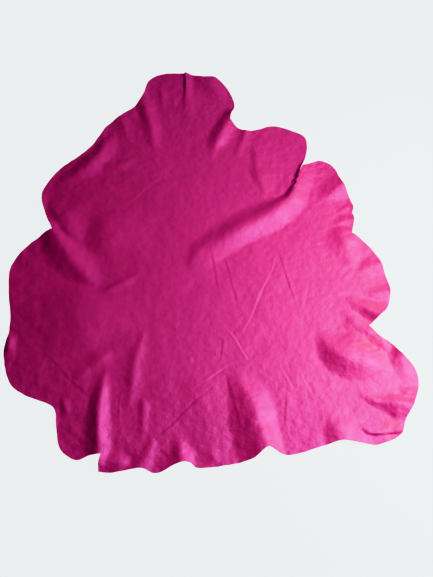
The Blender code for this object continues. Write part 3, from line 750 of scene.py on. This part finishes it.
# The fine creases, where the skin was once folded small. One side of each stands up by its
# height and the other sinks by it: the left one stands up where the height is positive.
creases = {
    "fork left": {
        "halfWidth": 0.0026, "height": -0.00034,
        "points": [
            (0.158, -0.020), (0.148, -0.060), (0.128, -0.102), (0.112, -0.140),
            (0.098, -0.178), (0.082, -0.210), (0.066, -0.238),
        ],
    },
    "fork right": {
        "halfWidth": 0.0026, "height": 0.00036,
        "points": [
            (0.166, -0.008), (0.174, -0.044), (0.182, -0.082), (0.192, -0.118),
            (0.202, -0.162),
        ],
    },
    "fork out": {
        "halfWidth": 0.0030, "height": -0.00022,
        "points": [(0.236, -0.080), (0.226, -0.112), (0.216, -0.152), (0.208, -0.172)],
    },
    "loin tick": {
        "halfWidth": 0.0024, "height": -0.00036,
        "points": [(0.040, -0.210), (0.060, -0.236), (0.076, -0.268), (0.090, -0.292)],
    },
    "loin long": {
        "halfWidth": 0.0024, "height": -0.00034,
        "points": [
            (0.068, -0.290), (0.042, -0.302), (0.012, -0.324), (-0.010, -0.340),
            (-0.034, -0.358),
        ],
    },
    "rump long": {
        "halfWidth": 0.0026, "height": 0.00038,
        "points": [
            (0.018, -0.344), (0.000, -0.364), (-0.026, -0.384), (-0.048, -0.406),
            (-0.072, -0.432), (-0.102, -0.462), (-0.122, -0.484),
        ],
    },
    "rump tick": {
        "halfWidth": 0.0026, "height": -0.00038,
        "points": [(0.156, -0.298), (0.166, -0.318), (0.176, -0.340), (0.186, -0.360)],
    },
    "rump line": {
        "halfWidth": 0.0036, "height": 0.00040,
        "points": [(0.172, -0.344), (0.168, -0.380), (0.164, -0.418), (0.166, -0.462)],
    },
    "tail foot": {
        "halfWidth": 0.0040, "height": 0.00040,
        "points": [
            (0.038, -0.316), (0.044, -0.344), (0.052, -0.372), (0.060, -0.408),
            (0.072, -0.448),
        ],
    },
    "left haunch": {
        "halfWidth": 0.0036, "height": 0.00034,
        "points": [
            (-0.370, -0.264), (-0.346, -0.288), (-0.322, -0.314), (-0.294, -0.342),
            (-0.270, -0.362), (-0.256, -0.380),
        ],
    },
    "withers": {
        "halfWidth": 0.0040, "height": -0.00030,
        "points": [
            (-0.108, 0.204), (-0.134, 0.192), (-0.158, 0.168), (-0.186, 0.138),
            (-0.214, 0.114),
        ],
    },
    "back": {
        "halfWidth": 0.0030, "height": 0.00028,
        "points": [(0.006, -0.010), (0.012, -0.050), (0.018, -0.086), (0.022, -0.118)],
    },
    "back right": {
        "halfWidth": 0.0028, "height": 0.00024,
        "points": [
            (0.036, -0.022), (0.044, -0.054), (0.054, -0.098), (0.062, -0.134),
            (0.066, -0.170),
        ],
    },
    "loin nick": {
        "halfWidth": 0.0024, "height": 0.00028,
        "points": [(0.032, -0.236), (0.030, -0.264), (0.026, -0.290)],
    },
    "left rump": {
        "halfWidth": 0.0034, "height": 0.00026,
        "points": [(-0.192, -0.340), (-0.192, -0.382), (-0.192, -0.418), (-0.186, -0.452)],
    },
    "thigh upper": {
        "halfWidth": 0.0024, "height": 0.00036,
        "points": [(0.360, -0.248), (0.380, -0.240), (0.398, -0.240)],
    },
    "thigh middle": {
        "halfWidth": 0.0024, "height": 0.00040,
        "points": [(0.344, -0.272), (0.366, -0.260), (0.388, -0.251), (0.408, -0.250)],
    },
    "thigh lower": {
        "halfWidth": 0.0026, "height": 0.00040,
        "points": [(0.352, -0.286), (0.374, -0.272), (0.398, -0.263)],
    },
    "rump right": {
        "halfWidth": 0.0026, "height": -0.00030,
        "points": [(0.196, -0.300), (0.208, -0.334), (0.222, -0.362), (0.230, -0.386)],
    },
    "neck left": {
        "halfWidth": 0.0030, "height": 0.00034,
        "points": [(-0.240, 0.400), (-0.228, 0.374), (-0.216, 0.342)],
    },
}

creaseMesh = {
    "rows": (-1.8, -1.0, -0.5, 0.0, 0.5, 1.0, 1.8),  # lines of points, in half widths
    "step": 0.0035,  # between two points of a line
    "edgeGap": 0.002,  # kept free beside the cut edge
    "ownGap": 0.0009,  # kept free round each point where creases cross
    "reach": 5,  # half widths beyond which a crease no longer tells
}


def creaseRoute(points):
    # the crease's line, with the share of the way along it in a third column
    shares = np.linspace(0, 1, len(points))
    return smoothRoute([(x, y, share) for (x, y), share in zip(points, shares)], steps=8)


def creaseLift(places):
    total = np.zeros(len(places))
    for crease in creases.values():
        route = creaseRoute(crease["points"])
        near = nearRoute(route, places, creaseMesh["reach"] * crease["halfWidth"])
        distance, left, columns, _ = nearestOnRoute(route, places[near])
        across = np.where(left, distance, -distance) / crease["halfWidth"]
        taper = np.sqrt(np.sin(math.pi * np.clip(columns[:, 2], 0, 1)))
        total[near] += crease["height"] * taper * across * np.exp((1 - across**2) / 2)
    return total


def creasePoints(line):
    # rows of points along every crease, inside the cut edge and clear of each other
    places = []
    for crease in creases.values():
        route = creaseRoute(crease["points"])[:, :2]
        ends = np.concatenate([[0], np.cumsum(np.hypot(*np.diff(route, axis=0).T))])
        marks = np.linspace(0, ends[-1], max(2, round(ends[-1] / creaseMesh["step"])))
        middle = np.column_stack([np.interp(marks, ends, column) for column in route.T])
        ahead = np.gradient(middle, axis=0)
        aside = np.stack([-ahead[:, 1], ahead[:, 0]], axis=1) / np.hypot(*ahead.T)[:, None]
        for row in creaseMesh["rows"]:
            places += (middle + aside * row * crease["halfWidth"]).tolist()
    places = np.array(places)
    places = apartFrom(line, places[insideLine(line, places)], creaseMesh["edgeGap"])
    tree = treeOf(places)
    kept, dropped = [], set()
    for i, place in enumerate(places):
        if i not in dropped:
            kept.append(place)
            close = tree.find_range((*place, 0), creaseMesh["ownGap"])
            dropped |= {j for _, j, _ in close if j > i}
    print("creases:", len(creases), "with", len(kept), "points")
    return np.array(kept)


# How uneven the skin lies beside its folds: heights, and the size across of each kind.
uneven = {
    "swellHeight": 0.0016,
    "swellSize": 0.13,
    "rippleHeight": 0.00064,
    "rippleSize": 0.055,
    "swellLevel": 0.5,  # the share of its height that a swell or ripple is raised by
    "crumpleHeight": 0.0008,
    "crumpleSize": 0.03,
    "smallCrumple": 0.5,  # the height of the smaller ones, as a share
    "smallCrumpleSize": 0.014,
    "crumpleLevel": 0.0006,  # they are raised by this, and what is still too low is pressed flat
    "midCrumple": 0.7,  # their strength well inside the skin
    "rimCrumple": 2.2,  # what is added to it at the edge
    "rimReach": 0.06,
    "curlHeight": 0.0012,  # the most that the edge lifts by itself
    "curlSize": 0.05,
    "curlReach": 0.014,
    "curlLevel": 0.35,  # more of the edge lifts where this is higher
}


def unevenness(line, places):
    # slow swells, small crumples, and the lift of the edge itself, all above the floor
    inset = distancesTo(line, places)
    swell = uneven["swellHeight"] * (
        uneven["swellLevel"] + noiseAt(places, uneven["swellSize"], seed=1.0)
    )
    swell += uneven["rippleHeight"] * (
        uneven["swellLevel"] + noiseAt(places, uneven["rippleSize"], seed=2.0)
    )
    crumple = noiseAt(places, uneven["crumpleSize"], seed=3.0)
    crumple += uneven["smallCrumple"] * noiseAt(places, uneven["smallCrumpleSize"], seed=5.0)
    rim = uneven["rimCrumple"] * np.exp(-inset / uneven["rimReach"])
    crumple *= uneven["crumpleHeight"] * (uneven["midCrumple"] + rim)
    curl = np.clip(noiseAt(places, uneven["curlSize"], seed=7.0) + uneven["curlLevel"], 0, 1)
    curl *= uneven["curlHeight"] * np.clip(1 - inset / uneven["curlReach"], 0, 1) ** 2
    return np.maximum(swell, 0) + np.maximum(crumple + uneven["crumpleLevel"], 0) + curl


def lattice(line, gap):
    # staggered points over the sheet, none of them hard against its edge
    low, high = line.min(axis=0), line.max(axis=0)
    rowGap = gap * math.sin(math.radians(60))
    places = np.array(
        [
            (low[0] + (column + 0.5 * (row % 2)) * gap, low[1] + row * rowGap)
            for row in range(1, int((high[1] - low[1]) / rowGap) + 1)
            for column in range(int((high[0] - low[0]) / gap) + 1)
        ]
    )
    return apartFrom(line, places[insideLine(line, places)], gap * skin["edgeShare"])


def planMesh(line):
    # the flat sheet: the cut edge, the creases' rows and the lattice, joined by triangles
    gap = skin["pointGap"]
    rows = creasePoints(line)
    free = apartFrom(rows, lattice(line, gap), gap * skin["creaseShare"])
    points = [Vector(p) for p in np.concatenate([line, rows, free])]
    ring = [(i, (i + 1) % len(line)) for i in range(len(line))]
    insideOnly = 1
    plan, _, triangles, *_ = delaunay_2d_cdt(points, ring, [], insideOnly, skin["mergeGap"])
    return np.array(plan), triangles


def makeSkin():
    line = edgeLine()
    plan, triangles = planMesh(line)
    lift, push = liftAll(plan)
    lift += unevenness(line, plan) + creaseLift(plan)
    middle = (plan.min(axis=0) + plan.max(axis=0)) / 2
    spots = np.column_stack([plan + push - middle, lift - lift.min()])
    mesh = bpy.data.meshes.new(skin["name"])
    mesh.from_pydata(spots.tolist(), [], [list(t) for t in triangles])
    mesh.update()
    upward = np.empty(len(mesh.vertices) * 3)
    mesh.vertex_normals.foreach_get("vector", upward)
    upward = upward.reshape(-1, 3)
    mesh.vertices.foreach_set("co", (spots + upward * skin["thickness"]).ravel())
    sheet = bpy.data.objects.new(skin["name"], mesh)
    bpy.context.scene.collection.objects.link(sheet)
    print("sheet:", len(plan), "points,", len(triangles), "triangles, middle", middle)
    return sheet


def thicken(sheet):
    # downwards from the grain side, with the flesh side and the cut edge as second and third slot
    clear()
    bpy.context.view_layer.objects.active = sheet
    sheet.select_set(True)
    wall = sheet.modifiers.new("thickness", "SOLIDIFY")
    wall.thickness = skin["thickness"]
    wall.offset = -1
    wall.material_offset = 1
    wall.material_offset_rim = 2
    bpy.ops.object.modifier_apply(modifier=wall.name)
    bpy.ops.object.shade_smooth_by_angle(angle=math.radians(skin["smoothAngle"]))
    print("thickened:", len(sheet.data.polygons), "faces")


leather = {
    "dye": (0.735, 0.068, 0.205, 1),
    "mottling": 0.07,  # how far the dye varies, as a share of it
    "cloudScale": 11,
    "streakScale": 70,
    "rust": (0.78, 0.025, 0.04, 1),  # dye that has turned, in small spots at the thigh and hock
    "rustSpots": (
        (0.338, -0.264, 0.0),
        (0.358, -0.258, 0.0),
        (0.378, -0.254, 0.0),
        (0.392, -0.446, 0.0),
    ),
    "rustReach": (0.003, 0.028),  # from a spot's middle to where it begins and ends to fade
    "rustLeast": 0.4,  # its strength between the speckles
    "speckleScale": 150,
    "speckleFade": (0.42, 0.58),  # the values of the noise between which a speckle fades in
    "roughness": 0.65,
    "smoother": 0.05,  # how far the roughness falls below that in places
    "rougher": 0.06,  # and how far it rises above it
    "satinScale": 40,
    "gloss": 1.0,
    "glossIndex": 2.2,
    "sheenTint": (0.81, 0.39, 1.0, 1),
    "wrinkleDepth": 0.0008,  # at the firmest place of the skin, the middle of its back
    "wrinkleScale": 80,
    "looser": 2.4,  # how many times deeper the wrinkles are at the skin's rim
    "firmest": (-0.17, -0.05, 0.0),
    "firmReach": (0.15, 0.52),  # from the firmest place to where the skin loosens and is loose
    "grainDepth": 0.0002,
    "grainStrength": 0.6,
    "poreScale": 520,
    "fleshRoughness": 0.9,
    "cutRoughness": 0.8,
}


def plainMaterial(name, colour, roughness):
    material = bpy.data.materials.new(name)
    material.use_nodes = True
    shader = material.node_tree.nodes["Principled BSDF"]
    shader.inputs["Base Color"].default_value = colour
    shader.inputs["Roughness"].default_value = roughness
    return material


def dyedGrain():
    # the grain side: uneven dye under a half-gloss finish, over pores and small wrinkles
    material = plainMaterial("dyed_grain", leather["dye"], leather["roughness"])
    nodes, links = material.node_tree.nodes, material.node_tree.links
    shader = nodes["Principled BSDF"]
    shader.inputs["Specular Tint"].default_value = leather["sheenTint"]
    shader.inputs["Specular IOR Level"].default_value = leather["gloss"]
    shader.inputs["IOR"].default_value = leather["glossIndex"]

    def addNode(kind, inputs, **settings):
        node = nodes.new("ShaderNode" + kind)
        for name, value in settings.items():
            setattr(node, name, value)
        for name, value in inputs.items():
            if isinstance(value, bpy.types.NodeSocket):
                links.new(value, node.inputs[name])
            else:
                node.inputs[name].default_value = value
        return node

    place = addNode("TexCoord", {}).outputs["Object"]

    def noiseField(scale, detail, roughness=0.5):
        inputs = {"Vector": place, "Scale": scale, "Detail": detail, "Roughness": roughness}
        return addNode("TexNoise", inputs).outputs["Fac"]

    def spread(value, low, high, start=0.3, stop=0.7):
        inputs = {"From Min": start, "From Max": stop, "To Min": low, "To Max": high}
        return addNode("MapRange", {"Value": value, **inputs}).outputs["Result"]

    def multiply(first, second):
        return addNode("Math", {0: first, 1: second}, operation="MULTIPLY").outputs[0]

    def distanceFrom(spot):
        return addNode("VectorMath", {0: place, 1: spot}, operation="DISTANCE").outputs["Value"]

    mottling = leather["mottling"]
    clouds = noiseField(leather["cloudScale"], detail=3)
    clouds = spread(clouds, 1 - mottling / 2, 1 + mottling / 2)
    streaks = noiseField(leather["streakScale"], detail=6, roughness=0.7)
    streaks = spread(streaks, 1 - mottling, 1 + mottling)
    dye = {0: leather["dye"][:3], "Scale": multiply(clouds, streaks)}
    colour = addNode("VectorMath", dye, operation="SCALE").outputs["Vector"]
    speckles = noiseField(leather["speckleScale"], detail=3)
    speckles = spread(speckles, leather["rustLeast"], 1.0, *leather["speckleFade"])
    for spot in leather["rustSpots"]:
        near = spread(distanceFrom(spot), 1.0, 0.0, *leather["rustReach"])
        turned = {"Factor": multiply(near, speckles), "A": colour, "B": leather["rust"]}
        colour = addNode("Mix", turned, data_type="RGBA").outputs["Result"]
    links.new(colour, shader.inputs["Base Color"])

    smooth = leather["roughness"] - leather["smoother"]
    rough = leather["roughness"] + leather["rougher"]
    satin = spread(noiseField(leather["satinScale"], detail=4), smooth, rough)
    links.new(satin, shader.inputs["Roughness"])

    depth = leather["wrinkleDepth"]
    loose = spread(
        distanceFrom(leather["firmest"]), depth, depth * leather["looser"], *leather["firmReach"]
    )
    ripples = noiseField(leather["wrinkleScale"], detail=4)
    wrinkled = {"Strength": 1.0, "Distance": loose, "Height": ripples}
    wrinkles = addNode("Bump", wrinkled).outputs["Normal"]
    pores = addNode("TexVoronoi", {"Vector": place, "Scale": leather["poreScale"]})
    grained = {
        "Strength": leather["grainStrength"],
        "Distance": leather["grainDepth"],
        "Height": pores.outputs["Distance"],
        "Normal": wrinkles,
    }
    links.new(addNode("Bump", grained).outputs["Normal"], shader.inputs["Normal"])
    print("grain side:", len(nodes), "nodes")
    return material


camera = {
    "target": (0.022, -0.112, 0.0),
    "distance": 1.85,
    "elevation": 62.0,
    "lens": 49.8,
    "sensor": 36,
}


def addCamera():
    rise = math.radians(camera["elevation"])
    data = bpy.data.cameras.new("camera")
    data.lens = camera["lens"]
    data.sensor_width = camera["sensor"]
    eye = bpy.data.objects.new("camera", data)
    back = Vector((0, -math.cos(rise), math.sin(rise))) * camera["distance"]
    eye.location = Vector(camera["target"]) + back
    eye.rotation_euler = (math.pi / 2 - rise, 0, 0)
    bpy.context.scene.collection.objects.link(eye)
    bpy.context.scene.camera = eye
    print("camera", tuple(round(v, 3) for v in eye.location))


light = {
    "lamps": {
        "lamp": {
            "at": (0.92, -0.17, 0.81), "aim": (0.04, -0.45, 0.0),
            "size": (0.7, 0.35), "power": 14.6,
        },
        "back": {
            "at": (0.3, 1.45, 1.0), "aim": (0.08, 0.38, 0.0),
            "size": (0.9, 0.5), "power": 2.4,
        },
    },
    "fill": 0.03,  # the room's own light
    "transform": "Khronos PBR Neutral",
    "look": "High Contrast",
}


def addLamp(name, at, aim, size, power):
    data = bpy.data.lights.new(name, "AREA")
    data.shape = "RECTANGLE"
    data.size, data.size_y = size
    data.energy = power
    lamp = bpy.data.objects.new(name, data)
    lamp.location = at
    lamp.rotation_euler = (Vector(aim) - lamp.location).to_track_quat("-Z", "Y").to_euler()
    bpy.context.scene.collection.objects.link(lamp)


def addLight():
    for name, lamp in light["lamps"].items():
        addLamp(name, **lamp)
    world = bpy.data.worlds.new("room")
    bpy.context.scene.world = world
    world.use_nodes = True
    room = world.node_tree.nodes["Background"]
    room.inputs["Color"].default_value = (1, 1, 1, 1)
    room.inputs["Strength"].default_value = light["fill"]
    bpy.context.scene.view_settings.view_transform = light["transform"]
    bpy.context.scene.view_settings.look = light["look"]
    print("lamps:", ", ".join(light["lamps"]))


floor = {
    "size": 16,
    "height": -0.0005,
    "colour": (0.06, 0.06, 0.06, 1),
    "roughness": 0.9,
    "glowColour": (0.955, 0.985, 1.0, 1),
    "glow": 0.69,
}


def addFloor():
    # it gives off its own pale light, so it stays even from the front edge to the back
    clear()
    bpy.ops.mesh.primitive_plane_add(size=floor["size"], location=(0, 0, floor["height"]))
    ground = bpy.context.active_object
    ground.name = "floor"
    material = plainMaterial("pale_floor", floor["colour"], floor["roughness"])
    shader = material.node_tree.nodes["Principled BSDF"]
    shader.inputs["Specular IOR Level"].default_value = 0.0
    shader.inputs["Emission Color"].default_value = floor["glowColour"]
    shader.inputs["Emission Strength"].default_value = floor["glow"]
    ground.data.materials.append(material)
    print("floor laid")


addCamera()
addLight()
addFloor()
hide = makeSkin()
hide.data.materials.append(dyedGrain())
hide.data.materials.append(plainMaterial("flesh_side", leather["dye"], leather["fleshRoughness"]))
hide.data.materials.append(plainMaterial("cut_side", leather["dye"], leather["cutRoughness"]))
thicken(hide)
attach(hide, "root")
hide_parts(skin["node"])
